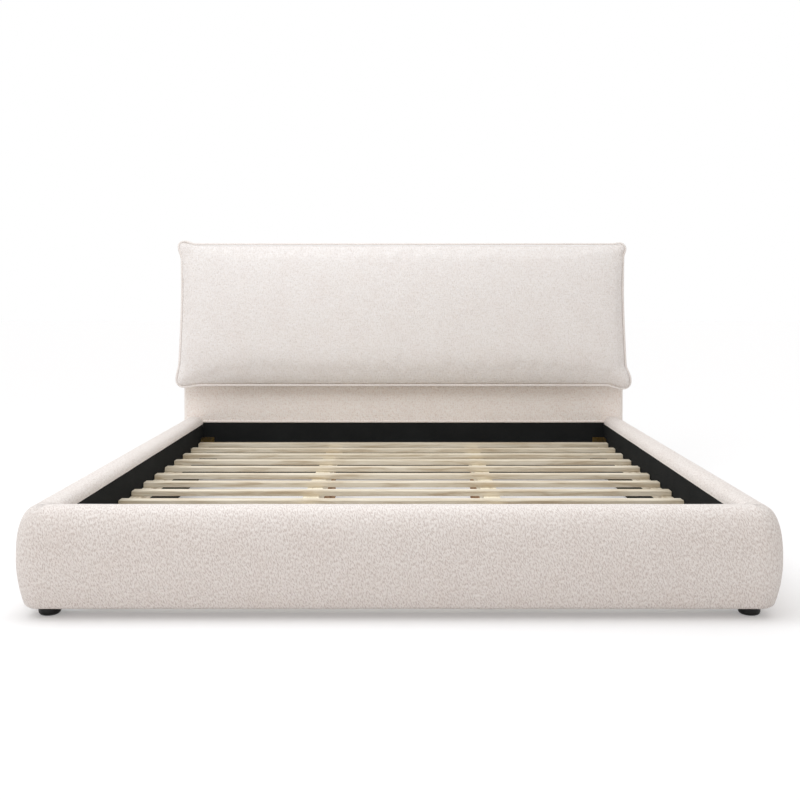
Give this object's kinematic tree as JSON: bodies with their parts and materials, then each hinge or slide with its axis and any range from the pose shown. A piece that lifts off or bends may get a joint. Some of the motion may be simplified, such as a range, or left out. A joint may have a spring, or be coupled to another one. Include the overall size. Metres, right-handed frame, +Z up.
{
  "type": "upholstered headboard bed",
  "caption": "Low platform bed with padded boucle rails, wooden slats on centre rails, and a large piped cushion that hangs over the headboard and lifts off.",
  "frame": {"origin": "on the floor under the middle of the bed's outer box", "axes": "+X to the right seen from the foot end, +Y towards the headboard, +Z up"},
  "size_m": [2.1828, 2.2654, 1.1508],
  "materials": {
    "cream_boucle": "matte",
    "black_lining": "matte",
    "foam": "matte",
    "fibre_filling": "matte",
    "plywood": "matte",
    "slat_wood": "satin",
    "pine": "satin",
    "brown_wood": "satin",
    "yellow_zinc": "satin",
    "black_plastic": "satin",
    "hook_tape": "matte"
  },
  "bodies": {
    "base": {"left_rail_cover": "cream_boucle", "left_rail_foam": "foam", "left_rail_board": "plywood", "left_rail_lining": "black_lining", "right_rail_cover": "cream_boucle", "right_rail_foam": "foam", "right_rail_board": "plywood", "right_rail_lining": "black_lining", "foot_rail_cover": "cream_boucle", "foot_rail_foam": "foam", "foot_rail_board": "plywood", "foot_rail_lining": "black_lining", "headboard_cover": "cream_boucle", "headboard_foam": "foam", "headboard_frame": "plywood", "head_lining": "black_lining", "headboard_back_cloth": "black_lining", "headboard_hook_tape": "hook_tape", "slat_01": "slat_wood", "slat_02": "slat_wood", "slat_03": "slat_wood", "slat_04": "slat_wood", "slat_05": "slat_wood", "slat_06": "slat_wood", "slat_07": "slat_wood", "slat_08": "slat_wood", "slat_09": "slat_wood", "slat_10": "slat_wood", "slat_11": "slat_wood", "slat_12": "slat_wood", "left_slat_cleat": "slat_wood", "left_centre_rail": "pine", "right_slat_cleat": "slat_wood", "right_centre_rail": "pine", "foot_ledger": "pine", "foot_left_leg": "brown_wood", "foot_left_bracket": "yellow_zinc", "foot_left_bolt": "yellow_zinc", "foot_right_leg": "brown_wood", "foot_right_bracket": "yellow_zinc", "foot_right_bolt": "yellow_zinc", "head_ledger": "pine", "head_left_leg": "brown_wood", "head_left_bracket": "yellow_zinc", "head_left_bolt": "yellow_zinc", "head_right_leg": "brown_wood", "head_right_bracket": "yellow_zinc", "head_right_bolt": "yellow_zinc", "front_left_foot": "black_plastic", "front_right_foot": "black_plastic", "back_left_foot": "black_plastic", "back_right_foot": "black_plastic"},
    "cushion": {"cushion_cover": "cream_boucle", "cushion_filling": "fibre_filling", "cushion_piping": "cream_boucle", "cushion_flap": "cream_boucle"},
    "foot_left_glide": {"foot_left_glide": "black_plastic"},
    "foot_right_glide": {"foot_right_glide": "black_plastic"},
    "head_left_glide": {"head_left_glide": "black_plastic"},
    "head_right_glide": {"head_right_glide": "black_plastic"}
  },
  "joints": [
    {"name": "cushion_lift", "type": "slide", "parent": "base", "child": "cushion", "axis": [0, 0, 1], "range_m": [0, 0.2]},
    {"name": "foot_left_level", "type": "slide", "parent": "base", "child": "foot_left_glide", "axis": [0, 0, -1], "range_m": [0, 0.012]},
    {"name": "foot_right_level", "type": "slide", "parent": "base", "child": "foot_right_glide", "axis": [0, 0, -1], "range_m": [0, 0.012]},
    {"name": "head_left_level", "type": "slide", "parent": "base", "child": "head_left_glide", "axis": [0, 0, -1], "range_m": [0, 0.012]},
    {"name": "head_right_level", "type": "slide", "parent": "base", "child": "head_right_glide", "axis": [0, 0, -1], "range_m": [0, 0.012]}
  ]
}
